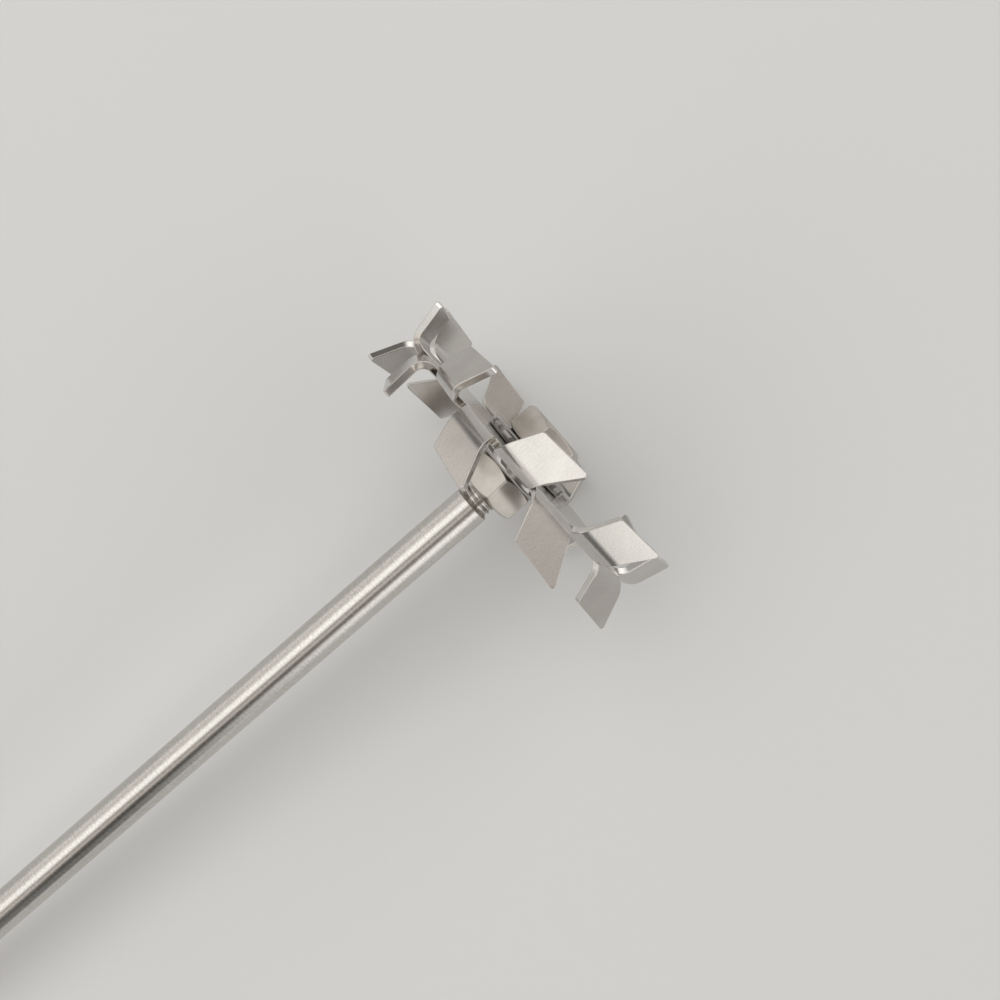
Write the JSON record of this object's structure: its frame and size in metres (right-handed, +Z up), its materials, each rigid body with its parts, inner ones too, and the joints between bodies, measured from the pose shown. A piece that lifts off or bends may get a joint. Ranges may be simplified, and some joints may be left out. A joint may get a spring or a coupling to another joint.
{
  "type": "dispersion disc impeller",
  "caption": "Saw-tooth dispersion disc with bent blades on both faces, clamped by nuts and washers on a long stainless stirring shaft, lying on its side.",
  "frame": {"origin": "under the middle of the part as it lies on a table, on the table's surface", "axes": "+X along the lying shaft toward the disc, level; +Z up; +Y to the left, seen from above with the disc at the right pointing along +X. The shaft's axis rises 5.10 degrees toward +X"},
  "size_m": [0.3514, 0.0698, 0.0685],
  "materials": {
    "shaft_steel": "brushed",
    "disc_steel": "satin",
    "fastener_steel": "polished"
  },
  "bodies": {
    "root": {"shaft": "shaft_steel", "dispersion_disc": "disc_steel", "shaft_side_washer": "fastener_steel", "outer_washer": "fastener_steel", "shaft_side_nut": "fastener_steel", "outer_nut": "fastener_steel"}
  },
  "joints": []
}
